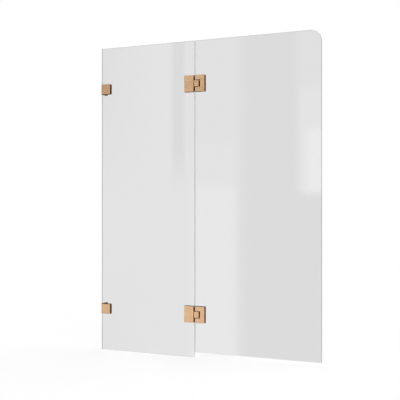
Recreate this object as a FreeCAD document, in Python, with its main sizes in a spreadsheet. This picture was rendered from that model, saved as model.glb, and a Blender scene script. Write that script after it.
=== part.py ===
"""Hinged bath screen: a fixed glass panel on two wall clamps and a glass door on two hinges.

X runs along the screen from the wall, Y through the glass to its rear (the wall flange side) and Z up. The
origin lies on the wall, in the middle of the glass, at the height of the lower clamp's centre. Lengths are in
millimetres.
"""
import FreeCAD
import Part
import Sketcher
import math
import os
from types import SimpleNamespace

SIZES = [
    ("glass_thick", 8, "thickness of both panels"),
    ("fixed_width", 500, "fixed panel, along the screen"),
    ("fixed_height", 1500, "fixed panel, from the bath rim to the top edge"),
    ("door_width", 603, "door panel, along the screen"),
    ("door_undercut", 25, "foot of the door above the foot of the fixed panel"),
    ("wall_gap", 2, "wall to the edge of the fixed panel"),
    ("panel_gap", 5, "fixed panel to door panel"),
    ("corner_radius", 50, "top outer corner of the door"),
    ("arris", 0.8, "ground edge of the glass"),
    ("cut_radius", 6, "inner corners of the hinge cut-outs in the glass"),
    ("clamp_rise", 203.5, "lower clamp's centre above the foot of the fixed panel"),
    ("clamp_drop", 203.5, "upper clamp's centre below the top edge"),
    ("hinge_rise", 203.5, "lower hinge's centre above the foot of the fixed panel"),
    ("hinge_drop", 203.5, "upper hinge's centre below the top edge"),
    ("gasket_thick", 1, "gasket between glass and metal"),
    ("gasket_inset", 0.6, "gasket edge inside the edge of its plate"),
    ("plate_thick", 6, "leaf and clamp plates"),
    ("plate_chamfer", 0.7, "outer edges of the plates"),
    ("clamp_side", 52, "clamp plates, outer edge from the wall"),
    ("clamp_height", 49, "clamp plates and wall flange, up the screen"),
    ("front_inset", 3, "front clamp plate from the wall"),
    ("web_thick", 1.4, "web of the bracket across the edge of the glass"),
    ("flange_thick", 10, "wall flange"),
    ("flange_reach", 46, "rear end of the wall flange from the middle of the glass"),
    ("wall_hole_dia", 5.5, "wall screw holes"),
    ("wall_hole_pitch", 26, "between the two wall screw holes"),
    ("wall_head_dia", 11, "countersink of the wall screw holes"),
    ("clamp_hole_x", 28, "clamp screw's centre from the wall"),
    ("glass_hole_dia", 14, "hole through the fixed panel at a clamp"),
    ("sleeve_wall", 3.2, "plastic sleeve in that hole"),
    ("pad_height", 40, "rubber pad at the edge of the glass"),
    ("clamp_screw_dia", 6, "clamp screw thread"),
    ("clamp_head_dia", 11.4, "clamp screw head"),
    ("clamp_socket", 4, "clamp screw socket across its flats"),
    ("leaf_width", 48.2, "hinge leaf, along the screen"),
    ("leaf_height", 78, "hinge leaf, up the screen"),
    ("leaf_gap", 7.5, "between the two leaves"),
    ("axis_inset", 9, "pin axis from the inner edge of the door leaf"),
    ("block_height", 29, "pivot block"),
    ("block_reach", 9.2, "outer end of the pivot block from the pin axis"),
    ("block_seam", 2, "groove between the pivot block and the edge of the fixed leaf"),
    ("block_recess", 1.2, "faces of the pivot block below those of the plates"),
    ("block_chamfer", 0.5, "edges of the pivot block"),
    ("notch_clear", 7.3, "outer end of the pivot block to the wall of the notch"),
    ("tongue_length", 25, "tongue of the block between the plates of the fixed leaf"),
    ("tongue_height", 66, "that tongue, up the screen"),
    ("cut_clear", 2, "metal to the edge of a cut-out in the glass"),
    ("ear_height", 14.5, "ear that carries the pin"),
    ("ear_reach", 24, "outer end of an ear from the pin axis"),
    ("pin_dia", 8, "pivot pin"),
    ("pin_inset", 0.5, "end of the pin below the end of the ear"),
    ("flat_depth", 0.8, "detent flats of the pin"),
    ("flat_length", 7.2, "detent flats of the pin, along it"),
    ("bush_dia", 11, "sleeve of a bush"),
    ("bush_length", 8, "sleeve of a bush, in the block"),
    ("bush_flange_dia", 17, "flange of a bush"),
    ("bush_flange", 2, "thickness of that flange"),
    ("run_clear", 0.05, "running clearance at the pin, the bushes and the plunger"),
    ("plunger_dia", 6, "detent plunger"),
    ("plunger_length", 11, "detent plunger without its spigot"),
    ("spigot_dia", 3, "plunger's spigot inside the spring"),
    ("spigot_length", 3, "plunger's spigot, along it"),
    ("spring_dia", 5.4, "outside of the detent spring"),
    ("spring_wire", 0.8, "wire of the detent spring"),
    ("spring_turns", 5, "turns of the detent spring"),
    ("plug_length", 6, "plug that closes the plunger's bore"),
    ("plug_inset", 1, "plug below the end of the tongue"),
    ("leaf_screw_dia", 5, "leaf screw thread"),
    ("leaf_head_dia", 9.6, "leaf screw head"),
    ("leaf_socket", 3, "leaf screw socket across its flats"),
    ("fixed_screw_inset", 12, "fixed leaf screws from the edge of the leaf"),
    ("fixed_screw_pitch", 44, "between the two fixed leaf screws"),
    ("door_screw_x", 16.5, "door leaf screws from the pin axis"),
    ("ear_bite", 8.5, "thread of a door leaf screw in its ear"),
    ("plate_bite", 4, "thread of a screw in a front plate"),
    ("screw_sink", 0.2, "screw heads below the face of a plate"),
    ("screw_clear", 0.06, "round a screw in its hole"),
    ("socket_depth", 1.8, "depth of the screw sockets"),
    ("grub_dia", 4, "grub screw that locks the pin"),
    ("grub_socket", 2, "grub screw socket across its flats"),
]

doc = FreeCAD.newDocument("HingedBathScreen")
sheet = doc.addObject("Spreadsheet::Sheet", "Sizes")


class Dim:
    """A length: its formula in cells of the sheet, and the value of that formula."""

    def __init__(self, text, value):
        self.text = text
        self.value = value

    @staticmethod
    def of(other):
        """The given number or length, as a length."""
        return other if isinstance(other, Dim) else Dim(f"{float(other):.6g}", float(other))

    def __add__(self, other):
        other = Dim.of(other)
        return Dim(f"({self.text} + {other.text})", self.value + other.value)

    def __sub__(self, other):
        other = Dim.of(other)
        return Dim(f"({self.text} - {other.text})", self.value - other.value)

    def __mul__(self, other):
        other = Dim.of(other)
        return Dim(f"({self.text} * {other.text})", self.value * other.value)

    def __truediv__(self, other):
        other = Dim.of(other)
        return Dim(f"({self.text} / {other.text})", self.value / other.value)

    def __neg__(self):
        return Dim(f"(0 - {self.text})", -self.value)


def fill_sheet():
    """Writes every size to the sheet under its own name, and gives them all as lengths."""
    sizes = SimpleNamespace()
    for row, (name, value, note) in enumerate(SIZES, start=1):
        sheet.set(f"A{row}", note)
        sheet.set(f"B{row}", str(value))
        sheet.setAlias(f"B{row}", name)
        setattr(sizes, name, Dim(f"Sizes.{name}", float(value)))
    doc.recompute()
    return sizes


S = fill_sheet()
ZERO = Dim.of(0)
HALF_STACK = S.glass_thick / 2 + S.gasket_thick
OUTER_Y = HALF_STACK + S.plate_thick
FOOT_Z = -S.clamp_rise
TOP_Z = S.fixed_height - S.clamp_rise
FIXED_EDGE_X = S.wall_gap + S.fixed_width
DOOR_EDGE_X = FIXED_EDGE_X + S.panel_gap
PIN_X = FIXED_EDGE_X + (S.panel_gap + S.leaf_gap) / 2 + S.axis_inset
CLAMP_LEVELS = {"lower": ZERO, "upper": TOP_Z - S.clamp_drop}
HINGE_LEVELS = {"lower": FOOT_Z + S.hinge_rise, "upper": TOP_Z - S.hinge_drop}

# Hinge sizes along X are measured from the pin axis, and those along Z from the middle of the hinge.
LEAF_HALF = S.leaf_height / 2
BLOCK_HALF = S.block_height / 2
BLOCK_Y = OUTER_Y - S.block_recess
DOOR_LEAF_X = -S.axis_inset
FIXED_LEAF_X = DOOR_LEAF_X - S.leaf_gap
TONGUE_X = FIXED_LEAF_X - S.tongue_length
FIXED_CUT_X = TONGUE_X - S.cut_clear
TONGUE_HALF = S.tongue_height / 2
FIXED_CUT_HALF = TONGUE_HALF + S.cut_clear
EAR_START = BLOCK_HALF + S.bush_flange + S.run_clear * 2
EAR_END = EAR_START + S.ear_height
EAR_MID = EAR_START + S.ear_height / 2
NOTCH_X = S.block_reach + S.notch_clear
DOOR_CUT_X = S.ear_reach + S.cut_clear
DOOR_CUT_HALF = EAR_END + S.cut_clear
FIXED_SCREW_X = FIXED_LEAF_X - S.fixed_screw_inset
PIN_R = S.pin_dia / 2
PLUNGER_R = S.plunger_dia / 2
PLUNGER_TIP_X = -(PIN_R + S.run_clear)
PLUNGER_BACK_X = PLUNGER_TIP_X - S.plunger_length
PLUG_FACE_X = TONGUE_X + S.plug_inset + S.plug_length

# Each of these turns an upright axis, +Z, to the named direction.
TURNS = {
    "+X": FreeCAD.Rotation(FreeCAD.Vector(0, 1, 0), 90),
    "+Y": FreeCAD.Rotation(FreeCAD.Vector(1, 0, 0), -90),
    "-Y": FreeCAD.Rotation(FreeCAD.Vector(1, 0, 0), 90),
    "+Z": FreeCAD.Rotation(),
}
NEAR = 1e-4
nodes = []


def bind(item, **formulas):
    """Binds properties of a document object to formulas of sizes."""
    for name, formula in formulas.items():
        item.setExpression(name, Dim.of(formula).text)


def place(item, x=ZERO, y=ZERO, z=ZERO):
    """Binds the position of a document object."""
    for axis, formula in zip("xyz", (x, y, z)):
        if Dim.of(formula).text != ZERO.text:
            item.setExpression(f"Placement.Base.{axis}", Dim.of(formula).text)


def node(item, label, x=ZERO, z=ZERO):
    """Names a finished sub-part and puts it in its place on the screen."""
    item.Label = label
    place(item, x, ZERO, z)
    nodes.append(item)


def new_body(label):
    """An empty body."""
    return doc.addObject("PartDesign::Body", label)


def new_sketch(body, role, offset=ZERO):
    """A sketch on one of the body's own origin planes, moved along that plane's normal."""
    sketch = body.newObject("Sketcher::SketchObject", f"{body.Name}_sketch")
    plane = next(f for f in body.Origin.OriginFeatures if f.Role == role)
    sketch.AttachmentSupport = [(plane, "")]
    sketch.MapMode = "FlatFace"
    if offset.text != ZERO.text:
        sketch.setExpression("AttachmentOffset.Base.z", offset.text)
    return sketch


def outline(sketch, corners):
    """A closed outline, each corner held by its two distances from the sketch's origin."""
    corners = [(Dim.of(x), Dim.of(y)) for x, y in corners]
    points = [FreeCAD.Vector(x.value, y.value, 0) for x, y in corners]
    count = len(points)
    for i in range(count):
        sketch.addGeometry(Part.LineSegment(points[i], points[(i + 1) % count]))
    for i in range(count):
        sketch.addConstraint(Sketcher.Constraint("Coincident", i, 2, (i + 1) % count, 1))
    for i, corner in enumerate(corners):
        for kind, formula in zip(("DistanceX", "DistanceY"), corner):
            number = sketch.addConstraint(Sketcher.Constraint(kind, -1, 1, i, 1, formula.value))
            sketch.setExpression(f"Constraints[{number}]", formula.text)


def pad(body, role, corners, length, offset=ZERO, both_ways=False):
    """Pads an outline along its plane's normal, or evenly to both sides of it."""
    sketch = new_sketch(body, role, offset)
    outline(sketch, corners)
    feature = body.newObject("PartDesign::Pad", f"{body.Name}_pad")
    feature.Profile = sketch
    feature.Midplane = both_ways
    bind(feature, Length=length)
    return feature


def box(body, kind, low, high):
    """Adds or takes away a block between two corners."""
    feature = body.newObject(f"PartDesign::{kind}Box", f"{body.Name}_box")
    size = [h - l for l, h in zip(low, high)]
    bind(feature, Length=size[0], Width=size[1], Height=size[2])
    place(feature, *low)
    return feature


def rod(body, kind, radius, length, start, axis):
    """Adds or takes away a round rod that runs from a point along an axis."""
    feature = body.newObject(f"PartDesign::{kind}Cylinder", f"{body.Name}_rod")
    feature.Placement = FreeCAD.Placement(FreeCAD.Vector(), TURNS[axis])
    bind(feature, Radius=radius, Height=length)
    place(feature, *start)
    return feature


def countersink(body, thread_dia, head_dia, face, axis):
    """Takes away the seat of a countersunk head: a cone that opens along the axis to the face it ends on."""
    depth = (head_dia - thread_dia) / 2
    back = {"+X": (1, 0), "+Y": (0, 1)}[axis]
    feature = body.newObject("PartDesign::SubtractiveCone", f"{body.Name}_seat")
    feature.Placement = FreeCAD.Placement(FreeCAD.Vector(), TURNS[axis])
    bind(
        feature,
        Radius1=thread_dia / 2 + S.screw_clear,
        Radius2=head_dia / 2 + S.screw_clear,
        Height=depth,
    )
    place(feature, face[0] - depth * back[0], face[1] - depth * back[1], face[2])
    return feature


def edges_of(feature, wanted):
    """Names of the feature's edges that pass a test."""
    doc.recompute()
    return [f"Edge{i}" for i, edge in enumerate(feature.Shape.Edges, start=1) if wanted(edge)]


def lies_at(edge, axis, level):
    """True if all of an edge lies at one level of an axis."""
    middle = edge.valueAt((edge.FirstParameter + edge.LastParameter) / 2)
    points = [v.Point for v in edge.Vertexes] + [middle]
    return all(abs(getattr(p, axis) - level.value) < NEAR for p in points)


def is_line(edge):
    """True for a straight edge."""
    return edge.Curve.TypeId == "Part::GeomLine"


def dress(body, kind, feature, size, wanted):
    """Chamfers or fillets the feature's edges that pass a test."""
    names = edges_of(feature, wanted)
    worked = body.newObject(f"PartDesign::{kind}", f"{body.Name}_{kind.lower()}")
    worked.Base = (feature, names)
    bind(worked, **{"Size" if kind == "Chamfer" else "Radius": size})
    return worked


def chamfer_face(body, feature, axis, level, size):
    """Chamfers the straight outer edges of one flat face."""
    return dress(body, "Chamfer", feature, size, lambda e: is_line(e) and lies_at(e, axis, level))


def rectangle(x0, x1, z0, z1):
    """Corners of a rectangle."""
    return [(x0, z0), (x1, z0), (x1, z1), (x0, z1)]


def mirrored(item, normal):
    """A mirror image of an object in a plane through its own origin."""
    image = doc.addObject("Part::Mirroring", f"{item.Name}_image")
    image.Source = item
    image.Base = FreeCAD.Vector(0, 0, 0)
    image.Normal = normal
    return image


def pair(item, normal, label, x, z):
    """A node of two equal pieces, the second a mirror image of the first."""
    both = doc.addObject("Part::Compound", label)
    both.Links = [item, mirrored(item, normal)]
    node(both, label, x, z)


ACROSS = FreeCAD.Vector(0, 1, 0)
UPWARD = FreeCAD.Vector(0, 0, 1)


def socket_screw(name, thread_dia, head_dia, length, socket, x, z):
    """A countersunk socket screw, put in from the rear face towards the front."""
    body = new_body(name)
    head_depth = (head_dia - thread_dia) / 2
    sketch = new_sketch(body, "XZ_Plane")
    corners = [
        (ZERO, ZERO),
        (head_dia / 2, ZERO),
        (thread_dia / 2, -head_depth),
        (thread_dia / 2, -length),
        (ZERO, -length),
    ]
    outline(sketch, corners)
    turned = body.newObject("PartDesign::Revolution", f"{name}_turned")
    turned.Profile = sketch
    turned.ReferenceAxis = (sketch, ["V_Axis"])
    turned.Angle = 360
    recess = body.newObject("PartDesign::SubtractivePrism", f"{name}_socket")
    recess.Polygon = 6
    bind(recess, Circumradius=socket / (2 * math.cos(math.pi / 6)), Height=S.socket_depth)
    place(recess, z=-S.socket_depth)
    body.Placement = FreeCAD.Placement(FreeCAD.Vector(), TURNS["+Y"])
    place(body, x, OUTER_Y - S.screw_sink, z)
    return body


def panel(label, x0, x1, z0, corners, holes):
    """A glass panel with cut-outs in one edge at the hinges, and round holes."""
    body = new_body(label)
    feature = pad(body, "XZ_Plane", rectangle(x0, x1, z0, TOP_Z), S.glass_thick, both_ways=True)
    half = S.glass_thick / 2
    for low_x, high_x, half_z, inner_x in corners:
        for level in HINGE_LEVELS.values():
            low = (low_x, -S.glass_thick, level - half_z)
            high = (high_x, S.glass_thick, level + half_z)
            box(body, "Subtractive", low, high)
            feature = dress(
                body,
                "Fillet",
                body.Tip,
                S.cut_radius,
                lambda e, x=inner_x, l=level, h=half_z: lies_at(e, "x", x)
                and (lies_at(e, "z", l - h) or lies_at(e, "z", l + h)),
            )
    for x, z in holes:
        start = (x, -S.glass_thick, z)
        feature = rod(body, "Subtractive", S.glass_hole_dia / 2, S.glass_thick * 2, start, "+Y")
    return body, feature, half


def make_panels():
    """The fixed panel, and the door with its rounded top corner."""
    fixed_cut = (PIN_X + FIXED_CUT_X, FIXED_EDGE_X + S.glass_thick, FIXED_CUT_HALF, PIN_X + FIXED_CUT_X)
    holes = [(S.clamp_hole_x, level) for level in CLAMP_LEVELS.values()]
    body, feature, half = panel("fixed_glass", S.wall_gap, FIXED_EDGE_X, FOOT_Z, [fixed_cut], holes)
    for side in (half, -half):
        feature = dress(body, "Chamfer", feature, S.arris, lambda e, y=side: outer_edge(e, y))
    node(body, "fixed_glass")

    door_cut = (DOOR_EDGE_X - S.glass_thick, PIN_X + DOOR_CUT_X, DOOR_CUT_HALF, PIN_X + DOOR_CUT_X)
    outer_x = DOOR_EDGE_X + S.door_width
    foot = FOOT_Z + S.door_undercut
    body, feature, half = panel("door_glass", DOOR_EDGE_X, outer_x, foot, [door_cut], [])
    feature = dress(
        body,
        "Fillet",
        feature,
        S.corner_radius,
        lambda e: lies_at(e, "x", outer_x) and lies_at(e, "z", TOP_Z),
    )
    for side in (half, -half):
        feature = dress(body, "Chamfer", feature, S.arris, lambda e, y=side: outer_edge(e, y))
    node(body, "door_glass")


def outer_edge(edge, level):
    """True for an edge of a panel's face, other than the rim of a round hole."""
    return lies_at(edge, "y", level) and len(edge.Vertexes) == 2


def make_clamp(side, level):
    """One wall clamp: L bracket, front plate, gaskets, edge pad, sleeve and screw."""
    tag = f"{side}_clamp"
    half = S.clamp_height / 2
    hole_y = (OUTER_Y + S.flange_reach) / 2

    body = new_body(f"{tag}_bracket")
    profile = [
        (ZERO, -HALF_STACK),
        (S.web_thick, -HALF_STACK),
        (S.web_thick, HALF_STACK),
        (S.clamp_side, HALF_STACK),
        (S.clamp_side, OUTER_Y),
        (S.flange_thick, OUTER_Y),
        (S.flange_thick, S.flange_reach),
        (ZERO, S.flange_reach),
    ]
    pad(body, "XY_Plane", profile, S.clamp_height, both_ways=True)
    for z in (S.wall_hole_pitch / 2, -S.wall_hole_pitch / 2):
        rod(body, "Subtractive", S.wall_hole_dia / 2, S.flange_thick, (ZERO, hole_y, z), "+X")
        countersink(body, S.wall_hole_dia, S.wall_head_dia, (S.flange_thick, hole_y, z), "+X")
    hole_r = S.clamp_screw_dia / 2 + S.screw_clear
    rod(body, "Subtractive", hole_r, S.plate_thick, (S.clamp_hole_x, HALF_STACK, ZERO), "+Y")
    feature = countersink(
        body, S.clamp_screw_dia, S.clamp_head_dia + S.screw_sink * 2, (S.clamp_hole_x, OUTER_Y, ZERO), "+Y"
    )
    dress(
        body,
        "Chamfer",
        feature,
        S.plate_chamfer,
        lambda e: is_line(e)
        and (
            (lies_at(e, "x", S.clamp_side) and not lies_at(e, "y", HALF_STACK))
            or (lies_at(e, "y", S.flange_reach) and not lies_at(e, "x", ZERO))
        ),
    )
    node(body, f"{tag}_bracket", z=level)

    body = new_body(f"{tag}_front_plate")
    face = rectangle(S.front_inset, S.clamp_side, -half, half)
    pad(body, "XZ_Plane", face, S.plate_thick, HALF_STACK)
    start = (S.clamp_hole_x, -HALF_STACK, ZERO)
    feature = rod(body, "Subtractive", hole_r, S.plate_bite + S.screw_clear, start, "-Y")
    chamfer_face(body, feature, "y", -OUTER_Y, S.plate_chamfer)
    node(body, f"{tag}_front_plate", z=level)

    body = new_body(f"{tag}_gasket")
    edge = half - S.gasket_inset
    sheet_corners = rectangle(S.wall_gap, S.clamp_side - S.gasket_inset, -edge, edge)
    pad(body, "XZ_Plane", sheet_corners, S.gasket_thick, S.glass_thick / 2)
    start = (S.clamp_hole_x, ZERO, ZERO)
    rod(body, "Subtractive", S.glass_hole_dia / 2, HALF_STACK * 2, start, "-Y")
    pair(body, ACROSS, f"{tag}_gaskets", ZERO, level)

    body = new_body(f"{tag}_edge_pad")
    low = (S.web_thick, -S.glass_thick / 2, -S.pad_height / 2)
    box(body, "Additive", low, (S.wall_gap, S.glass_thick / 2, S.pad_height / 2))
    node(body, f"{tag}_edge_pad", z=level)

    body = new_body(f"{tag}_sleeve")
    outer_r = S.glass_hole_dia / 2 - S.screw_clear
    start = (S.clamp_hole_x, -HALF_STACK, ZERO)
    rod(body, "Additive", outer_r, HALF_STACK * 2, start, "+Y")
    rod(body, "Subtractive", outer_r - S.sleeve_wall, HALF_STACK * 2, start, "+Y")
    node(body, f"{tag}_sleeve", z=level)

    length = S.plate_thick + HALF_STACK * 2 + S.plate_bite - S.screw_sink
    screw = socket_screw(
        f"{tag}_one_screw",
        S.clamp_screw_dia,
        S.clamp_head_dia,
        length,
        S.clamp_socket,
        S.clamp_hole_x,
        ZERO,
    )
    node(screw, f"{tag}_screw", z=level)


def make_fixed_leaf(tag, x, z):
    """The fixed leaf of a hinge: front and back plates, gaskets and screws."""
    outer_x = FIXED_LEAF_X - S.leaf_width
    face = rectangle(outer_x, FIXED_LEAF_X, -LEAF_HALF, LEAF_HALF)
    hole_r = S.leaf_screw_dia / 2 + S.screw_clear
    screw_zs = (S.fixed_screw_pitch / 2, -S.fixed_screw_pitch / 2)

    body = new_body(f"{tag}_fixed_front_plate")
    pad(body, "XZ_Plane", face, S.plate_thick, HALF_STACK)
    for screw_z in screw_zs:
        start = (FIXED_SCREW_X, -HALF_STACK, screw_z)
        feature = rod(body, "Subtractive", hole_r, S.plate_bite + S.screw_clear, start, "-Y")
    chamfer_face(body, feature, "y", -OUTER_Y, S.plate_chamfer)
    node(body, f"{tag}_fixed_front_plate", x, z)

    body = new_body(f"{tag}_fixed_back_plate")
    pad(body, "XZ_Plane", face, S.plate_thick, -OUTER_Y)
    for screw_z in screw_zs:
        rod(body, "Subtractive", hole_r, S.plate_thick, (FIXED_SCREW_X, HALF_STACK, screw_z), "+Y")
        feature = countersink(
            body,
            S.leaf_screw_dia,
            S.leaf_head_dia + S.screw_sink * 2,
            (FIXED_SCREW_X, OUTER_Y, screw_z),
            "+Y",
        )
    chamfer_face(body, feature, "y", OUTER_Y, S.plate_chamfer)
    node(body, f"{tag}_fixed_back_plate", x, z)

    body = new_body(f"{tag}_fixed_gasket")
    edge = LEAF_HALF - S.gasket_inset
    corners = [
        (outer_x + S.gasket_inset, -edge),
        (FIXED_LEAF_X, -edge),
        (FIXED_LEAF_X, -FIXED_CUT_HALF),
        (FIXED_CUT_X, -FIXED_CUT_HALF),
        (FIXED_CUT_X, FIXED_CUT_HALF),
        (FIXED_LEAF_X, FIXED_CUT_HALF),
        (FIXED_LEAF_X, edge),
        (outer_x + S.gasket_inset, edge),
    ]
    pad(body, "XZ_Plane", corners, S.gasket_thick, S.glass_thick / 2)
    pair(body, ACROSS, f"{tag}_fixed_gaskets", x, z)

    length = S.plate_thick + HALF_STACK * 2 + S.plate_bite - S.screw_sink
    screw = socket_screw(
        f"{tag}_fixed_screw",
        S.leaf_screw_dia,
        S.leaf_head_dia,
        length,
        S.leaf_socket,
        FIXED_SCREW_X,
        screw_zs[0],
    )
    pair(screw, UPWARD, f"{tag}_fixed_screws", x, z)


def make_door_leaf(tag, x, z):
    """The door leaf of a hinge: front plate with the ears, back plate, gaskets and screws."""
    outer_x = DOOR_LEAF_X + S.leaf_width
    face = [
        (DOOR_LEAF_X, -LEAF_HALF),
        (outer_x, -LEAF_HALF),
        (outer_x, LEAF_HALF),
        (DOOR_LEAF_X, LEAF_HALF),
        (DOOR_LEAF_X, EAR_START),
        (NOTCH_X, EAR_START),
        (NOTCH_X, -EAR_START),
        (DOOR_LEAF_X, -EAR_START),
    ]
    hole_r = S.leaf_screw_dia / 2 + S.screw_clear
    grub_r = S.grub_dia / 2 + S.screw_clear
    ear_mids = (EAR_MID, -EAR_MID)

    body = new_body(f"{tag}_door_front_plate")
    pad(body, "XZ_Plane", face, S.plate_thick, HALF_STACK)
    for low_z, high_z in ((EAR_START, EAR_END), (-EAR_END, -EAR_START)):
        low = (DOOR_LEAF_X, -HALF_STACK, low_z)
        box(body, "Additive", low, (S.ear_reach, HALF_STACK, high_z))
    rod(body, "Subtractive", PIN_R + S.run_clear, EAR_END * 2, (ZERO, ZERO, -EAR_END), "+Z")
    for ear_mid in ear_mids:
        rod(body, "Subtractive", grub_r, HALF_STACK, (ZERO, ZERO, ear_mid), "+Y")
        start = (S.door_screw_x, HALF_STACK, ear_mid)
        feature = rod(body, "Subtractive", hole_r, S.ear_bite + S.screw_clear, start, "-Y")
    chamfer_face(body, feature, "y", -OUTER_Y, S.plate_chamfer)
    node(body, f"{tag}_door_front_plate", x, z)

    body = new_body(f"{tag}_door_back_plate")
    pad(body, "XZ_Plane", face, S.plate_thick, -OUTER_Y)
    for ear_mid in ear_mids:
        rod(body, "Subtractive", grub_r, S.plate_thick, (ZERO, HALF_STACK, ear_mid), "+Y")
        rod(body, "Subtractive", hole_r, S.plate_thick, (S.door_screw_x, HALF_STACK, ear_mid), "+Y")
        feature = countersink(
            body,
            S.leaf_screw_dia,
            S.leaf_head_dia + S.screw_sink * 2,
            (S.door_screw_x, OUTER_Y, ear_mid),
            "+Y",
        )
    chamfer_face(body, feature, "y", OUTER_Y, S.plate_chamfer)
    node(body, f"{tag}_door_back_plate", x, z)

    body = new_body(f"{tag}_door_gasket")
    edge = LEAF_HALF - S.gasket_inset
    corners = [
        (DOOR_LEAF_X, -edge),
        (outer_x - S.gasket_inset, -edge),
        (outer_x - S.gasket_inset, edge),
        (DOOR_LEAF_X, edge),
        (DOOR_LEAF_X, DOOR_CUT_HALF),
        (DOOR_CUT_X, DOOR_CUT_HALF),
        (DOOR_CUT_X, -DOOR_CUT_HALF),
        (DOOR_LEAF_X, -DOOR_CUT_HALF),
    ]
    pad(body, "XZ_Plane", corners, S.gasket_thick, S.glass_thick / 2)
    pair(body, ACROSS, f"{tag}_door_gaskets", x, z)

    length = S.plate_thick + S.ear_bite - S.screw_sink
    screw = socket_screw(
        f"{tag}_door_screw",
        S.leaf_screw_dia,
        S.leaf_head_dia,
        length,
        S.leaf_socket,
        S.door_screw_x,
        EAR_MID,
    )
    pair(screw, UPWARD, f"{tag}_door_screws", x, z)

    body = new_body(f"{tag}_pin_grub_screw")
    start_y = PIN_R + S.run_clear
    length = OUTER_Y - S.screw_sink - start_y
    rod(body, "Additive", S.grub_dia / 2, length, (ZERO, start_y, EAR_MID), "+Y")
    recess = body.newObject("PartDesign::SubtractivePrism", f"{tag}_grub_socket")
    recess.Polygon = 6
    recess.Placement = FreeCAD.Placement(FreeCAD.Vector(), TURNS["+Y"])
    bind(recess, Circumradius=S.grub_socket / (2 * math.cos(math.pi / 6)), Height=S.socket_depth)
    place(recess, ZERO, OUTER_Y - S.screw_sink - S.socket_depth, EAR_MID)
    pair(body, UPWARD, f"{tag}_pin_grub_screws", x, z)


def make_pivot(tag, x, z):
    """The pivot of a hinge: block, pin and bushes."""
    body = new_body(f"{tag}_pivot_block")
    face = rectangle(FIXED_LEAF_X + S.block_seam, S.block_reach, -BLOCK_HALF, BLOCK_HALF)
    head = pad(body, "XZ_Plane", face, BLOCK_Y * 2, both_ways=True)
    for level in (-BLOCK_Y, BLOCK_Y):
        head = chamfer_face(body, head, "y", level, S.block_chamfer)
    low = (FIXED_LEAF_X, -HALF_STACK, -BLOCK_HALF)
    box(body, "Additive", low, (FIXED_LEAF_X + S.block_seam, HALF_STACK, BLOCK_HALF))
    low = (TONGUE_X, -HALF_STACK, -TONGUE_HALF)
    box(body, "Additive", low, (FIXED_LEAF_X, HALF_STACK, TONGUE_HALF))
    rod(body, "Subtractive", PIN_R + S.run_clear, S.block_height, (ZERO, ZERO, -BLOCK_HALF), "+Z")
    for start_z in (-BLOCK_HALF, BLOCK_HALF - S.bush_length):
        rod(body, "Subtractive", S.bush_dia / 2, S.bush_length, (ZERO, ZERO, start_z), "+Z")
    rod(body, "Subtractive", PLUNGER_R + S.run_clear, -TONGUE_X, (TONGUE_X, ZERO, ZERO), "+X")
    for screw_z in (S.fixed_screw_pitch / 2, -S.fixed_screw_pitch / 2):
        radius = S.leaf_screw_dia / 2 + S.screw_clear
        rod(body, "Subtractive", radius, HALF_STACK * 2, (FIXED_SCREW_X, -HALF_STACK, screw_z), "+Y")
    node(body, f"{tag}_pivot_block", x, z)

    body = new_body(f"{tag}_pivot_pin")
    end = EAR_END - S.pin_inset
    rod(body, "Additive", PIN_R, end * 2, (ZERO, ZERO, -end), "+Z")
    flat = PIN_R - S.flat_depth
    reach = S.flat_length / 2
    for low, high in (
        ((-PIN_R, -PIN_R), (-flat, PIN_R)),
        ((-PIN_R, flat), (PIN_R, PIN_R)),
        ((-PIN_R, -PIN_R), (PIN_R, -flat)),
    ):
        box(body, "Subtractive", (*low, -reach), (*high, reach))
    node(body, f"{tag}_pivot_pin", x, z)

    body = new_body(f"{tag}_pivot_bush")
    rod(body, "Additive", S.bush_dia / 2, S.bush_length, (ZERO, ZERO, BLOCK_HALF - S.bush_length), "+Z")
    rod(body, "Additive", S.bush_flange_dia / 2, S.bush_flange, (ZERO, ZERO, BLOCK_HALF), "+Z")
    rod(
        body,
        "Subtractive",
        PIN_R + S.run_clear,
        S.bush_length + S.bush_flange,
        (ZERO, ZERO, BLOCK_HALF - S.bush_length),
        "+Z",
    )
    pair(body, UPWARD, f"{tag}_pivot_bushes", x, z)


def helix_wire(radius, length, turns):
    """A coil's centre line along +X: two arcs to each quarter turn, tangent where they meet."""
    pitch = length / turns
    steps = int(round(turns * 4))
    rise = pitch / (2 * math.pi)

    def point(angle):
        return FreeCAD.Vector(rise * angle, radius * math.cos(angle), radius * math.sin(angle))

    def heading(angle):
        return FreeCAD.Vector(rise, -radius * math.sin(angle), radius * math.cos(angle)).normalize()

    def bend(start, apex, end):
        middle = (start + end) / 2
        half = (end - start).Length / 2
        lean = math.acos(half / (apex - start).Length)
        crown = middle + (apex - middle).normalize() * (half * math.tan(lean / 2))
        return Part.Arc(start, crown, end).toShape()

    arcs = []
    for step in range(steps):
        first, last = (2 * math.pi * turns * n / steps for n in (step, step + 1))
        a, b, ta, tb = point(first), point(last), heading(first), heading(last)
        chord, both = b - a, ta + tb
        spread = 2 * (1 - ta.dot(tb))
        along = chord.dot(both)
        leg = (math.sqrt(along * along + spread * chord.dot(chord)) - along) / spread
        near, far = a + ta * leg, b - tb * leg
        joint = (near + far) / 2
        arcs += [bend(a, near, joint), bend(joint, far, b)]
    return Part.Wire(arcs)


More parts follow.
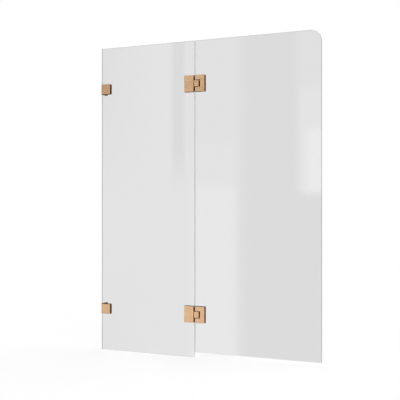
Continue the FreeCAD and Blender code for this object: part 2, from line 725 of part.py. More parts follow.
def make_detent(tag, x, z):
    """The detent of a hinge: plunger, coil spring and the plug behind it."""
    body = new_body(f"{tag}_detent_plunger")
    rod(body, "Additive", PLUNGER_R, S.plunger_length, (PLUNGER_BACK_X, ZERO, ZERO), "+X")
    start = (PLUNGER_BACK_X - S.spigot_length, ZERO, ZERO)
    rod(body, "Additive", S.spigot_dia / 2, S.spigot_length, start, "+X")
    node(body, f"{tag}_detent_plunger", x, z)

    wire_r = S.spring_wire.value / 2
    coil_r = S.spring_dia.value / 2 - wire_r
    first = PLUG_FACE_X.value + wire_r + S.run_clear.value
    last = PLUNGER_BACK_X.value - wire_r - S.run_clear.value
    path = helix_wire(coil_r, last - first, S.spring_turns.value)
    start = path.Vertexes[0].Point
    heading = path.Edges[0].tangentAt(path.Edges[0].FirstParameter)
    ring = Part.Wire(Part.Circle(start, heading, wire_r).toShape())
    coil = doc.addObject("Part::Feature", f"{tag}_detent_spring")
    coil.Shape = path.makePipeShell([ring], True, False)
    node(coil, f"{tag}_detent_spring", x + first, z)

    body = new_body(f"{tag}_detent_plug")
    start = (TONGUE_X + S.plug_inset, ZERO, ZERO)
    rod(body, "Additive", PLUNGER_R, S.plug_length, start, "+X")
    recess = body.newObject("PartDesign::SubtractivePrism", f"{tag}_plug_socket")
    recess.Polygon = 6
    recess.Placement = FreeCAD.Placement(FreeCAD.Vector(), TURNS["+X"])
    bind(recess, Circumradius=S.leaf_socket / (2 * math.cos(math.pi / 6)), Height=S.socket_depth)
    place(recess, *start)
    node(body, f"{tag}_detent_plug", x, z)


def coil_gap():
    """Prints the least gap between neighbouring turns of the detent spring."""
    length = PLUNGER_BACK_X.value - PLUG_FACE_X.value - S.spring_wire.value - 2 * S.run_clear.value
    coil_r = (S.spring_dia.value - S.spring_wire.value) / 2
    pitch = length / S.spring_turns.value
    steps = 48
    count = int(round(S.spring_turns.value * steps))
    line = [
        FreeCAD.Vector(
            pitch * n / steps,
            coil_r * math.cos(2 * math.pi * n / steps),
            coil_r * math.sin(2 * math.pi * n / steps),
        )
        for n in range(count + 1)
    ]
    apart = min(
        (line[i] - line[j]).Length for i in range(count) for j in range(i + steps // 2, count + 1)
    )
    print(f"least gap between turns of the detent spring: {apart - S.spring_wire.value:.3f} mm")


def check():
    """Stops if any object failed to build, or any sub-part is not a sound solid."""
    doc.recompute()
    for item in doc.Objects:
        if "Invalid" in item.State or "Error" in item.State:
            raise RuntimeError(f"{item.Name} is not built: {item.State}")
    for item in nodes:
        if item.Shape.isNull() or not item.Shape.isValid() or not item.Shape.Solids:
            raise RuntimeError(f"{item.Label} has no sound solid")


def write():
    """Writes each sub-part to a file under its own name."""
    os.makedirs("parts", exist_ok=True)
    for item in nodes:
        item.Shape.exportStep(f"parts/{item.Label}.step")
    print(f"{len(nodes)} sub-parts written")


make_panels()
for clamp_side, clamp_level in CLAMP_LEVELS.items():
    make_clamp(clamp_side, clamp_level)
for hinge_side, hinge_level in HINGE_LEVELS.items():
    hinge_tag = f"{hinge_side}_hinge"
    make_fixed_leaf(hinge_tag, PIN_X, hinge_level)
    make_door_leaf(hinge_tag, PIN_X, hinge_level)
    make_pivot(hinge_tag, PIN_X, hinge_level)
    make_detent(hinge_tag, PIN_X, hinge_level)
coil_gap()
check()
write()
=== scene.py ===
"""Hinged bath screen: clear glass panels and brushed rose-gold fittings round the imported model.

Lengths are in metres and colours are linear. X runs along the screen from the wall, Y through the
glass to its rear, where the wall flanges are, and Z up. The fixed panel stands on the set's floor.
"""
import logging
import math
from collections.abc import Callable
from dataclasses import dataclass
from enum import Enum
from functools import cached_property

import bmesh
import bpy
from mathutils import Euler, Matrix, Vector


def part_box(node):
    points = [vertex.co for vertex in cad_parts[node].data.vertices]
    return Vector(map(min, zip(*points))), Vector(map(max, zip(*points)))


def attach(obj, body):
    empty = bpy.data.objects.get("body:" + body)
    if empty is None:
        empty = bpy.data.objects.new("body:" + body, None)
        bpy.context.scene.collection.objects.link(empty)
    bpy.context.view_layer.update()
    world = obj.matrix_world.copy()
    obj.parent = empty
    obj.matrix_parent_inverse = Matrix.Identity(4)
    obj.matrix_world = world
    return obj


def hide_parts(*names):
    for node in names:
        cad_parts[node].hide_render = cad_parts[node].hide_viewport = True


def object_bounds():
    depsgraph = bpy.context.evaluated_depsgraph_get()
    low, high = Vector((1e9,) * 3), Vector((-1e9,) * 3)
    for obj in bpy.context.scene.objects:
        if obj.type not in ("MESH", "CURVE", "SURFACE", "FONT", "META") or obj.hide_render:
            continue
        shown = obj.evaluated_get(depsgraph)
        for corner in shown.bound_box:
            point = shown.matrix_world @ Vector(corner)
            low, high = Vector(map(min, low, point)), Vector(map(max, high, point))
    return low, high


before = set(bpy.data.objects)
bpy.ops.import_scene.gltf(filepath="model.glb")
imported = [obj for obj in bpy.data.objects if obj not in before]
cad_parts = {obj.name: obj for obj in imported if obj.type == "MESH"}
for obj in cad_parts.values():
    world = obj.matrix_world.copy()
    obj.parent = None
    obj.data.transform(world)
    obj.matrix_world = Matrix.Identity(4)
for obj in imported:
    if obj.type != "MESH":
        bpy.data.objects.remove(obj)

Colour = tuple[float, float, float]
Point = tuple[float, float, float]
Range = tuple[float, float]
Socket = bpy.types.NodeSocket

CAD_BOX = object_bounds()
MM = 0.001
RIGHT_ANGLE = math.radians(90)
HALF_TURN = 180.0
WHITE = (1.0, 1.0, 1.0)
GLASS_IOR = 1.5
# Corners nearer than this are one corner, and faces that turn by less than this are one face.
WELD = 0.001 * MM
FLAT_ANGLE = math.radians(0.2)
# Most of a noise's values lie between these two.
NOISE_BULK = (0.3, 0.7)

log = logging.getLogger("bath_screen")


class Slot(Enum):
    """The record's material slots."""

    GLASS = "clear_glass"
    ROSE_GOLD = "rose_gold"
    SCREWS = "screw_metal"
    STEEL = "plain_steel"
    GASKET = "dark_gasket"
    PLASTIC = "white_plastic"
    DARK_PLASTIC = "dark_plastic"


class Body(Enum):
    """The bodies that pieces ride on."""

    FIXED = "fixed"
    DOOR = "door"


class Level(Enum):
    """The two heights at which the screen is clamped and hinged."""

    LOWER = "lower"
    UPPER = "upper"


def opaque(colour: Colour) -> tuple[float, float, float, float]:
    """The colour as a colour socket takes it."""
    return (*colour, 1.0)


class NodePen:
    """Writes nodes into a node tree: adds them, sets their inputs and wires them together."""

    def __init__(self, tree: bpy.types.NodeTree) -> None:
        """Starts on the given tree, emptied."""
        self.tree = tree
        tree.nodes.clear()

    def add(
        self, kind: str, values: dict[str | int, object] | None = None, **settings: object
    ) -> bpy.types.Node:
        """Adds a node.

        Args:
            kind: the node's Blender type.
            values: its inputs by name or number; a socket is wired, anything else is set.
            settings: the node's own properties.

        Returns:
            The new node.
        """
        node = self.tree.nodes.new(kind)
        for name, setting in settings.items():
            setattr(node, name, setting)
        for name, value in (values or {}).items():
            self.feed(node.inputs[name], value)
        return node

    def feed(self, target: Socket, value: object) -> None:
        """Wires or sets an input.

        Args:
            target: the input.
            value: a socket to wire to it, or what it is set to.
        """
        if isinstance(value, Socket):
            self.tree.links.new(value, target)
        else:
            target.default_value = value

    def show(self, shader: bpy.types.Node) -> None:
        """Makes a shader the surface of the material."""
        self.add("ShaderNodeOutputMaterial", {"Surface": shader.outputs[0]})

    def math(self, operation: str, *values: object, clamp: bool = False) -> Socket:
        """Adds a Math node.

        Args:
            operation: what it works out.
            values: its inputs in order, numbers or sockets.
            clamp: keeps the result between 0 and 1.

        Returns:
            The socket of its result.
        """
        inputs = dict(enumerate(values))
        node = self.add("ShaderNodeMath", inputs, operation=operation, use_clamp=clamp)
        return node.outputs[0]

    def ramp(self, value: Socket, given: Range, wanted: Range) -> Socket:
        """Maps one range on to another with soft ends.

        Args:
            value: the socket to map.
            given: the ends of its own range.
            wanted: what those ends become.

        Returns:
            The socket of the mapped value.
        """
        ends = dict(enumerate((*given, *wanted), start=1))
        node = self.add("ShaderNodeMapRange", {0: value, **ends}, interpolation_type="SMOOTHSTEP")
        return node.outputs["Result"]

    def place(self) -> Socket:
        """Adds the piece's own coordinates."""
        return self.add("ShaderNodeTexCoord").outputs["Object"]

    def grain(self, scale: Point, detail: float) -> Socket:
        """Adds noise in the piece's own coordinates.

        Args:
            scale: waves per metre along each axis.
            detail: octaves of finer noise.

        Returns:
            The socket of its value, from 0 to 1.
        """
        stretch = self.add("ShaderNodeMapping", {"Vector": self.place(), "Scale": scale})
        values = {"Vector": stretch.outputs[0], "Scale": 1.0, "Detail": detail}
        return self.add("ShaderNodeTexNoise", values).outputs[0]

    def along(self) -> Socket:
        """Adds the place along the screen, in metres from the wall."""
        return self.add("ShaderNodeSeparateXYZ", {0: self.place()}).outputs[0]

    def blend(self, share: Socket, first: Colour | Socket, second: Colour | Socket) -> Socket:
        """Mixes two colours.

        Args:
            share: how much of the second one shows, from 0 to 1.
            first: the colour at 0, or its socket.
            second: the colour at 1, or its socket.

        Returns:
            The socket of the mixed colour.
        """
        node = self.add("ShaderNodeMix", {"Factor": share}, data_type="RGBA")
        ends = [socket for socket in node.inputs if socket.type == "RGBA"]
        for socket, colour in zip(ends, (first, second)):
            self.feed(socket, colour if isinstance(colour, Socket) else opaque(colour))
        return next(socket for socket in node.outputs if socket.type == "RGBA")

    def bump(self, height: Socket, strength: float, depth: float) -> Socket:
        """Adds relief.

        Args:
            height: the socket of the relief's height, from 0 to 1.
            strength: how much of it shows.
            depth: its depth in metres.

        Returns:
            The socket of the bent normal.
        """
        values = {"Height": height, "Strength": strength, "Distance": depth}
        return self.add("ShaderNodeBump", values).outputs[0]


def new_material(name: str) -> tuple[bpy.types.Material, NodePen]:
    """Starts a material.

    Args:
        name: its name.

    Returns:
        The material and a pen on its empty node tree.
    """
    material = bpy.data.materials.new(name)
    material.use_nodes = True
    return material, NodePen(material.node_tree)


@dataclass(frozen=True)
class BrushedMetal:
    """Metal with fine brush strokes along one direction and a slight drift of tone."""

    name: str
    slot: Slot
    dark: Colour
    light: Colour
    roughness: Range
    strokes: Point
    rim_tint: Colour = WHITE
    stroke_detail: float = 3.0
    stroke_share: float = 0.5
    stroke_bulk: Range = (0.25, 0.75)
    drift: float = 45.0
    drift_detail: float = 2.0
    relief: float = 0.02 * MM
    relief_strength: float = 0.25

    @cached_property
    def material(self) -> bpy.types.Material:
        """Builds the metal's material.

        Returns:
            The material.
        """
        material, pen = new_material(self.name)
        strokes = pen.grain(self.strokes, self.stroke_detail)
        drift = pen.grain((self.drift,) * 3, self.drift_detail)
        drift = pen.math("MULTIPLY", drift, 1.0 - self.stroke_share)
        share = pen.math("MULTIPLY_ADD", strokes, self.stroke_share, drift)
        tone = pen.ramp(share, NOISE_BULK, (0.0, 1.0))
        metal = pen.add(
            "ShaderNodeBsdfPrincipled",
            {
                "Base Color": pen.blend(tone, self.dark, self.light),
                "Metallic": 1.0,
                "Roughness": pen.ramp(strokes, self.stroke_bulk, self.roughness),
                "Specular Tint": opaque(self.rim_tint),
                "Normal": pen.bump(strokes, self.relief_strength, self.relief),
            },
        )
        pen.show(metal)
        return material


@dataclass(frozen=True)
class PaneGlass:
    """The two large faces of a panel: smooth glass with the faint waves of the rollers."""

    name: str
    slot: Slot
    tint: Colour
    lamp_tint: Colour = (0.93, 0.935, 0.93)
    wave_size: Point = (0.75, 1.0, 0.3)
    wave_depth: float = 0.03 * MM

    @cached_property
    def material(self) -> bpy.types.Material:
        """Builds the glass's material, which lets the lamps through.

        Returns:
            The material.
        """
        material, pen = new_material(self.name)
        waves = pen.grain(tuple(1.0 / size for size in self.wave_size), 0.0)
        glass = pen.add(
            "ShaderNodeBsdfPrincipled",
            {
                "Base Color": opaque(self.tint),
                "Roughness": 0.0,
                "IOR": GLASS_IOR,
                "Transmission Weight": 1.0,
                "Normal": pen.bump(waves, 1.0, self.wave_depth),
            },
        )
        passing = pen.add("ShaderNodeBsdfTransparent", {"Color": opaque(self.lamp_tint)})
        lamp_ray = pen.add("ShaderNodeLightPath").outputs["Is Shadow Ray"]
        shaders = {0: lamp_ray, 1: glass.outputs[0], 2: passing.outputs[0]}
        pen.show(pen.add("ShaderNodeMixShader", shaders))
        return material


@dataclass(frozen=True)
class GroundEdge:
    """The narrow edges of a panel: ground flat and polished, darker than the faces.

    An edge that has a paler one, as the edge with painted shade has, takes on the paler colour
    round a corner, between the two distances from the middle of the screen that fade holds.
    """

    name: str
    slot: Slot
    dark: Colour
    light: Colour
    roughness: Range = (0.12, 0.3)
    clearness: float = 0.5
    lines: Point = (900.0, 2600.0, 900.0)
    line_detail: float = 2.0
    paler: "GroundEdge | None" = None
    middle: float = 0.555
    fade: Range = (0.513, 0.545)

    def tone(self, pen: NodePen, lines: Socket) -> Socket:
        """Adds the edge's colour.

        Args:
            pen: the pen on the material's tree.
            lines: the grinding lines.

        Returns:
            The socket of the colour.
        """
        own = pen.blend(lines, self.dark, self.light)
        if self.paler is None:
            return own
        aside = pen.math("ABSOLUTE", pen.math("SUBTRACT", pen.along(), self.middle))
        share = pen.ramp(aside, self.fade, (0.0, 1.0))
        return pen.blend(share, self.paler.tone(pen, lines), own)

    @cached_property
    def material(self) -> bpy.types.Material:
        """Builds the edge's material.

        Returns:
            The material.
        """
        material, pen = new_material(self.name)
        lines = pen.grain(self.lines, self.line_detail)
        edge = pen.add(
            "ShaderNodeBsdfPrincipled",
            {
                "Base Color": self.tone(pen, lines),
                "Roughness": pen.ramp(lines, NOISE_BULK, self.roughness),
                "IOR": GLASS_IOR,
                "Transmission Weight": self.clearness,
            },
        )
        pen.show(edge)
        return material


@dataclass(frozen=True)
class Moulding:
    """Moulded plastic or rubber with a fine surface grain and faint clouds of tone."""

    name: str
    slot: Slot
    dark: Colour
    light: Colour
    roughness: Range
    grain: float = 1500.0
    grain_detail: float = 3.0
    cloud: float = 125.0
    cloud_detail: float = 1.0
    relief: float = 0.02 * MM
    relief_strength: float = 0.3

    @cached_property
    def material(self) -> bpy.types.Material:
        """Builds the moulding's material.

        Returns:
            The material.
        """
        material, pen = new_material(self.name)
        grain = pen.grain((self.grain,) * 3, self.grain_detail)
        cloud = pen.grain((self.cloud,) * 3, self.cloud_detail)
        plastic = pen.add(
            "ShaderNodeBsdfPrincipled",
            {
                "Base Color": pen.blend(cloud, self.dark, self.light),
                "Roughness": pen.ramp(grain, NOISE_BULK, self.roughness),
                "Normal": pen.bump(grain, self.relief_strength, self.relief),
            },
        )
        pen.show(plastic)
        return material


Finish = BrushedMetal | PaneGlass | GroundEdge | Moulding

ROSE_GOLD = BrushedMetal(
    name="brushed_rose_gold",
    slot=Slot.ROSE_GOLD,
    dark=(0.77, 0.485, 0.28),
    light=(0.89, 0.57, 0.345),
    roughness=(0.2, 0.3),
    strokes=(30, 2600, 2600),
)
# Painted shade: a dark copy of the rose gold, with a dark rim tint, for the plates' narrow edges
# and sides, which are the same metal as the faces.
SHADED_EDGE_GOLD = BrushedMetal(
    name="rose_gold_edge_painted_shade",
    slot=Slot.ROSE_GOLD,
    dark=(0.28, 0.165, 0.09),
    light=(0.34, 0.205, 0.115),
    roughness=(0.22, 0.32),
    strokes=(1100, 1100, 1100),
    rim_tint=(0.2, 0.15, 0.11),
)
SCREW_GOLD = BrushedMetal(
    name="satin_screw_gold",
    slot=Slot.SCREWS,
    dark=(0.5, 0.31, 0.18),
    light=(0.6, 0.38, 0.23),
    roughness=(0.2, 0.32),
    strokes=(500, 500, 500),
)
STEEL = BrushedMetal(
    name="ground_steel",
    slot=Slot.STEEL,
    dark=(0.5, 0.5, 0.51),
    light=(0.64, 0.64, 0.65),
    roughness=(0.16, 0.3),
    strokes=(2400, 2400, 60),
)
PANE = PaneGlass(name="clear_pane", slot=Slot.GLASS, tint=(0.763, 0.763, 0.764))
EDGE = GroundEdge(
    name="ground_glass_edge",
    slot=Slot.GLASS,
    dark=(0.84, 0.86, 0.855),
    light=(0.92, 0.94, 0.935),
    clearness=0.2,
)
# Painted shade: a dark copy of the ground edge for the outward-facing edges of the panes.
SHADED_OUTER_EDGE = GroundEdge(
    name="ground_edge_painted_shade",
    slot=Slot.GLASS,
    dark=(0.31, 0.33, 0.325),
    light=(0.41, 0.43, 0.425),
    paler=EDGE,
)
GASKET = Moulding(
    name="dark_gasket",
    slot=Slot.GASKET,
    dark=(0.05, 0.03, 0.018),
    light=(0.08, 0.05, 0.03),
    roughness=(0.45, 0.65),
)
PLASTIC = Moulding(
    name="white_acetal",
    slot=Slot.PLASTIC,
    dark=(0.72, 0.72, 0.7),
    light=(0.8, 0.8, 0.78),
    roughness=(0.35, 0.5),
)
DARK_PLASTIC = Moulding(
    name="dark_acetal",
    slot=Slot.DARK_PLASTIC,
    dark=(0.03, 0.025, 0.02),
    light=(0.05, 0.04, 0.035),
    roughness=(0.4, 0.55),
)


def merged(node: str, name: str) -> bpy.types.Mesh:
    """Copies a node's mesh with its loose triangles joined into flat faces.

    Args:
        node: the CAD node.
        name: the copy's name.

    Returns:
        The joined copy.
    """
    work = bmesh.new()
    work.from_mesh(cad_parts[node].data)
    bmesh.ops.remove_doubles(work, verts=work.verts, dist=WELD)
    bmesh.ops.dissolve_limit(
        work,
        angle_limit=FLAT_ANGLE,
        verts=work.verts,
        edges=work.edges,
        use_dissolve_boundaries=False,
    )
    mesh = bpy.data.meshes.new(name)
    work.to_mesh(mesh)
    work.free()
    return mesh


def new_piece(name: str, mesh: bpy.types.Mesh) -> bpy.types.Object:
    """Puts a mesh into the scene.

    Args:
        name: the piece's name.
        mesh: its mesh, in place.

    Returns:
        The new piece, at the origin.
    """
    piece = bpy.data.objects.new(name, mesh)
    bpy.context.scene.collection.objects.link(piece)
    return piece


def settle(piece: bpy.types.Object) -> None:
    """Turns a piece's modifiers into its plain mesh.

    Args:
        piece: the piece, which keeps its name and place.
    """
    graph = bpy.context.evaluated_depsgraph_get()
    mesh = bpy.data.meshes.new_from_object(piece.evaluated_get(graph), depsgraph=graph)
    piece.modifiers.clear()
    piece.data = mesh
    mesh.name = piece.name


def paint(
    piece: bpy.types.Object,
    finishes: tuple[Finish, ...],
    finish_of: Callable[[bpy.types.MeshPolygon], Finish],
) -> None:
    """Gives every face of a piece one of several finishes.

    Args:
        piece: the piece.
        finishes: the finishes, in the order of its material slots.
        finish_of: tells which of them a face has.
    """
    piece.data.materials.clear()
    for finish in finishes:
        piece.data.materials.append(finish.material)
    for face in piece.data.polygons:
        face.material_index = finishes.index(finish_of(face))


def stand_for(piece: bpy.types.Object, body: Body, slot: Slot, *nodes: str) -> bpy.types.Object:
    """Makes a piece ride on a body in place of CAD nodes.

    Args:
        piece: the finished piece.
        body: the body that it moves with.
        slot: the record's slot for its finish; not used.
        nodes: the nodes that it replaces.

    Returns:
        The same piece.
    """
    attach(piece, body.value)
    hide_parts(*nodes)
    log.info("%s: %d faces on %s", piece.name, len(piece.data.polygons), body.value)
    return piece


def dress_node(node: str, finish: BrushedMetal | Moulding) -> None:
    """Gives a CAD node that stays in view a finish.

    Args:
        node: the node.
        finish: what its surface is.
    """
    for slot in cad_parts[node].material_slots:
        slot.material = finish.material
    log.info("%s: %s", node, finish.name)


@dataclass(frozen=True)
class GlassPanel:
    """A pane with clear faces and ground edges, the outermost of them darkest by painted shade."""

    node: str
    body: Body
    name: str
    outward: float
    least_face_normal: float = 0.95
    least_shaded_edge_normal: float = 0.05
    round_angle: float = math.radians(25)

    def build(self) -> bpy.types.Object:
        """Builds the pane from its node.

        Returns:
            The pane.
        """
        mesh = merged(self.node, self.name)
        mesh.shade_smooth()
        mesh.set_sharp_from_angle(angle=self.round_angle)
        return self.dress(new_piece(self.name, mesh))

    def dress(self, piece: bpy.types.Object) -> bpy.types.Object:
        """Gives the faces and the edges their glass.

        Args:
            piece: the bare pane.

        Returns:
            The finished pane.
        """
        paint(piece, (PANE, EDGE, SHADED_OUTER_EDGE), self.finish_of)
        return stand_for(piece, self.body, PANE.slot, self.node)

    def finish_of(self, face: bpy.types.MeshPolygon) -> PaneGlass | GroundEdge:
        """Tells the clear faces, the plain edges and the outermost edge, which gets painted shade,
        apart.

        Args:
            face: a face of the pane.

        Returns:
            Its finish.
        """
        if abs(face.normal.y) > self.least_face_normal:
            return PANE
        # The outward-facing edge gets the dark copy of the ground edge: painted shade.
        return SHADED_OUTER_EDGE if face.normal.x * self.outward > self.least_shaded_edge_normal else EDGE


@dataclass(frozen=True)
class EasedMetal:
    """A metal piece with its sharp edges rounded a little, as brushing leaves them, and painted
    shade on its narrow edges and sides.
    """

    node: str
    body: Body
    name: str
    flange: float = 0.0
    finish: BrushedMetal = ROSE_GOLD
    shaded_edge_finish: BrushedMetal = SHADED_EDGE_GOLD
    edge_radius: float = 0.25 * MM
    edge_steps: int = 2
    sharp_angle: float = math.radians(28)
    least_face_normal: float = 0.6
    least_flat_normal: float = 0.9995

    def build(self) -> bpy.types.Object:
        """Builds the piece from its node.

        Returns:
            The finished piece.
        """
        piece = new_piece(self.name, merged(self.node, self.name))
        rounding = piece.modifiers.new("rounding", "BEVEL")
        rounding.width = self.edge_radius
        rounding.segments = self.edge_steps
        rounding.limit_method = "ANGLE"
        rounding.angle_limit = self.sharp_angle
        rounding.use_clamp_overlap = True
        settle(piece)
        return self.dress(piece)

    def dress(self, piece: bpy.types.Object) -> bpy.types.Object:
        """Gives the piece its finish, with its flat faces shaded flat and its rounded edges smooth.

        Args:
            piece: the bare piece.

        Returns:
            The finished piece.
        """
        paint(piece, (self.finish, self.shaded_edge_finish), self.finish_of)
        piece.data.shade_smooth()
        piece.data.set_sharp_from_angle(angle=self.sharp_angle)
        for face in piece.data.polygons:
            face.use_smooth = max(map(abs, face.normal)) < self.least_flat_normal
        return stand_for(piece, self.body, self.finish.slot, self.node)

    def finish_of(self, face: bpy.types.MeshPolygon) -> BrushedMetal:
        """Tells the brushed faces of the plates and the flange from their narrow edges and sides,
        which get painted shade.

        Args:
            face: a face of the piece.

        Returns:
            Its finish.
        """
        on_flange = face.center.x < self.flange and abs(face.normal.x) > self.least_face_normal
        brushed = on_flange or abs(face.normal.y) > self.least_face_normal
        # Narrow edges and sides get the dark copy of the rose gold: painted shade.
        return self.finish if brushed else self.shaded_edge_finish


class ScrewTree:
    """The node tree that puts a socket screw at every point of a mesh, head outwards along +Y."""

    SIZES = ("Thread Radius", "Head Radius", "Length", "Rim", "Socket Width", "Socket Depth")
    SIDES = 24
    HEX_ANGLE = math.pi / 3
    TIP_RIMS = 2.0

    def __init__(self, name: str) -> None:
        """Builds the tree.

        Args:
            name: its name.
        """
        self.tree = bpy.data.node_groups.new(name, "GeometryNodeTree")
        self.pen = NodePen(self.tree)
        self.add_input("Points", "NodeSocketGeometry")
        self.keys = {size: self.add_input(size, "NodeSocketFloat") for size in self.SIZES}
        self.keys["Finish"] = self.add_input("Finish", "NodeSocketMaterial")
        self.tree.interface.new_socket(
            "Screws", in_out="OUTPUT", socket_type="NodeSocketGeometry"
        )
        given = self.pen.add("NodeGroupInput").outputs
        values = {
            "Points": given["Points"],
            "Instance": self.turn_screw(given),
            "Rotation": Euler((-RIGHT_ANGLE, 0.0, 0.0)),
        }
        placed = self.pen.add("GeometryNodeInstanceOnPoints", values)
        real = self.pen.add("GeometryNodeRealizeInstances", {"Geometry": placed.outputs[0]})
        values = {"Geometry": real.outputs[0], "Material": given["Finish"]}
        dressed = self.pen.add("GeometryNodeSetMaterial", values)
        self.pen.add("NodeGroupOutput", {0: dressed.outputs[0]})

    def add_input(self, name: str, kind: str) -> str:
        """Adds an input to the tree and gives back the key that sets it on a modifier."""
        socket = self.tree.interface.new_socket(name, in_out="INPUT", socket_type=kind)
        return socket.identifier

    def rise(self, height: object) -> Socket:
        """The vector that goes up by a height."""
        return self.pen.add("ShaderNodeCombineXYZ", {"Z": height}).outputs[0]

    def grow(
        self, mesh: Socket, top: object, height: object, ratio: object
    ) -> tuple[Socket, Socket]:
        """Draws the top face up and widens it.

        Args:
            mesh: the screw so far.
            top: the selection of its top face.
            height: how far the face goes up.
            ratio: its new radius over its old one.

        Returns:
            The longer screw and the selection of its new top face.
        """
        values = {
            "Mesh": mesh,
            "Selection": top,
            "Offset": self.rise(height),
            "Offset Scale": 1.0,
            "Individual": False,
        }
        drawn = self.pen.add("GeometryNodeExtrudeMesh", values).outputs
        values = {"Geometry": drawn["Mesh"], "Selection": drawn["Top"], "Scale": ratio}
        wider = self.pen.add("GeometryNodeScaleElements", values, domain="FACE")
        return wider.outputs[0], drawn["Top"]

    def turn_screw(self, given: bpy.types.NodeOutputs) -> Socket:
        """Builds one screw along +Z, with its head's face at the origin.

        Args:
            given: the tree's inputs.

        Returns:
            The screw.
        """
        pen = self.pen
        thread, head, length, rim, width, depth = (given[size] for size in self.SIZES)
        tip = pen.math("MULTIPLY", rim, self.TIP_RIMS)
        tip_radius = pen.math("SUBTRACT", thread, tip)
        flare = pen.math("SUBTRACT", pen.math("SUBTRACT", head, thread), rim)
        cone = pen.math("MAXIMUM", flare, 0.0)
        shank = pen.math("SUBTRACT", length, tip)
        shank = pen.math("SUBTRACT", shank, pen.math("ADD", cone, rim))
        wide = pen.math("ADD", thread, cone)
        half_rim = pen.math("MULTIPLY", rim, 0.5)
        narrow = pen.math("DIVIDE", pen.math("SUBTRACT", wide, half_rim), wide)
        values = {"Vertices": self.SIDES, "Radius": tip_radius}
        disc = pen.add("GeometryNodeMeshCircle", values, fill_type="NGON").outputs[0]
        foot = self.rise(pen.math("MULTIPLY", length, -1.0))
        values = {"Geometry": disc, "Translation": foot}
        disc = pen.add("GeometryNodeTransform", values).outputs[0]
        end = pen.add("GeometryNodeFlipFaces", {"Mesh": disc}).outputs[0]
        steps = (
            (tip, pen.math("DIVIDE", thread, tip_radius)),
            (shank, 1.0),
            (cone, pen.math("DIVIDE", wide, thread)),
            (half_rim, 1.0),
            (half_rim, narrow),
            (0.0, 1.0),
        )
        screw, top = disc, True
        for height, ratio in steps:
            screw, top = self.grow(screw, top, height, ratio)
        screw = self.make_hexagon(screw, top, width)
        screw, top = self.grow(screw, top, pen.math("MULTIPLY", depth, -1.0), 1.0)
        whole = pen.add("GeometryNodeJoinGeometry", {"Geometry": screw})
        self.tree.links.new(end, whole.inputs[0])
        values = {"Geometry": whole.outputs[0], "Distance": WELD}
        return pen.add("GeometryNodeMergeByDistance", values).outputs[0]

    def make_hexagon(self, mesh: Socket, top: Socket, width: Socket) -> Socket:
        """Moves the corners of a round face on to a hexagon.

        Args:
            mesh: the screw so far.
            top: the selection of the face.
            width: the hexagon across its flats.

        Returns:
            The changed screw.
        """
        pen = self.pen
        place = pen.add("GeometryNodeInputPosition").outputs[0]
        x, y, z = pen.add("ShaderNodeSeparateXYZ", {0: place}).outputs
        angle = pen.math("ARCTAN2", y, x)
        aside = pen.math("FLOORED_MODULO", angle, self.HEX_ANGLE)
        aside = pen.math("SUBTRACT", aside, self.HEX_ANGLE / 2)
        reach = pen.math("DIVIDE", pen.math("MULTIPLY", width, 0.5), pen.math("COSINE", aside))
        sides = {
            "X": pen.math("MULTIPLY", reach, pen.math("COSINE", angle)),
            "Y": pen.math("MULTIPLY", reach, pen.math("SINE", angle)),
            "Z": z,
        }
        corner = pen.add("ShaderNodeCombineXYZ", sides).outputs[0]
        values = {"Geometry": mesh, "Selection": top, "Position": corner}
        return pen.add("GeometryNodeSetPosition", values).outputs[0]


@dataclass(frozen=True)
class SocketScrews:
    """Equal socket screws on one body, each in the place of one of its nodes' screws."""

    name: str
    body: Body
    part: str
    thread: float
    socket: float
    finish: BrushedMetal = SCREW_GOLD
    rim: float = 0.2 * MM
    socket_depth: float = 1.8 * MM
    sharp_angle: float = math.radians(30)

    @property
    def nodes(self) -> list[str]:
        """The nodes whose screws these are."""
        return [f"{level.value}_{self.part}" for level in Level]

    def places(self) -> list[Vector]:
        """Finds the middle of each screw head's face: a node holds one screw, or two in a column.

        Returns:
            One point for each screw.
        """
        points = []
        for node in self.nodes:
            low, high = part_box(node)
            radius = (high.x - low.x) / 2
            ends = (low.z + radius, high.z - radius)
            heights = ends if ends[1] - ends[0] > radius else (sum(ends) / 2,)
            points += [Vector((low.x + radius, high.y, z)) for z in heights]
        return points

    def build(self, tree: ScrewTree) -> bpy.types.Object:
        """Builds the screws.

        Args:
            tree: the tree that makes a screw at each point.

        Returns:
            All the screws as one piece.
        """
        low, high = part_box(self.nodes[0])
        head, length = (high.x - low.x) / 2, high.y - low.y
        sizes = (self.thread, head, length, self.rim, self.socket, self.socket_depth)
        mesh = bpy.data.meshes.new(self.name)
        mesh.from_pydata(self.places(), [], [])
        piece = new_piece(self.name, mesh)
        maker = piece.modifiers.new("screws", "NODES")
        maker.node_group = tree.tree
        for size, value in zip(ScrewTree.SIZES, sizes):
            maker[tree.keys[size]] = value
        maker[tree.keys["Finish"]] = self.finish.material
        settle(piece)
        return self.dress(piece)

    def dress(self, piece: bpy.types.Object) -> bpy.types.Object:
        """Sharpens the edges between the turned faces and hands the screws over.

        Args:
            piece: the bare screws.

        Returns:
            The finished screws.
        """
        piece.data.shade_smooth()
        piece.data.set_sharp_from_angle(angle=self.sharp_angle)
        return stand_for(piece, self.body, self.finish.slot, *self.nodes)


SCREWS = (
    SocketScrews(
        "clamp_screws", Body.FIXED, "clamp_screw", thread=3.0 * MM, socket=4.0 * MM
    ),
    SocketScrews(
        "fixed_leaf_screws", Body.FIXED, "hinge_fixed_screws", thread=2.5 * MM, socket=3.0 * MM
    ),
    SocketScrews(
        "door_leaf_screws", Body.DOOR, "hinge_door_screws", thread=2.5 * MM, socket=3.0 * MM
    ),
    SocketScrews(
        "pin_grub_screws", Body.DOOR, "hinge_pin_grub_screws", thread=2.0 * MM, socket=2.0 * MM
    ),
)


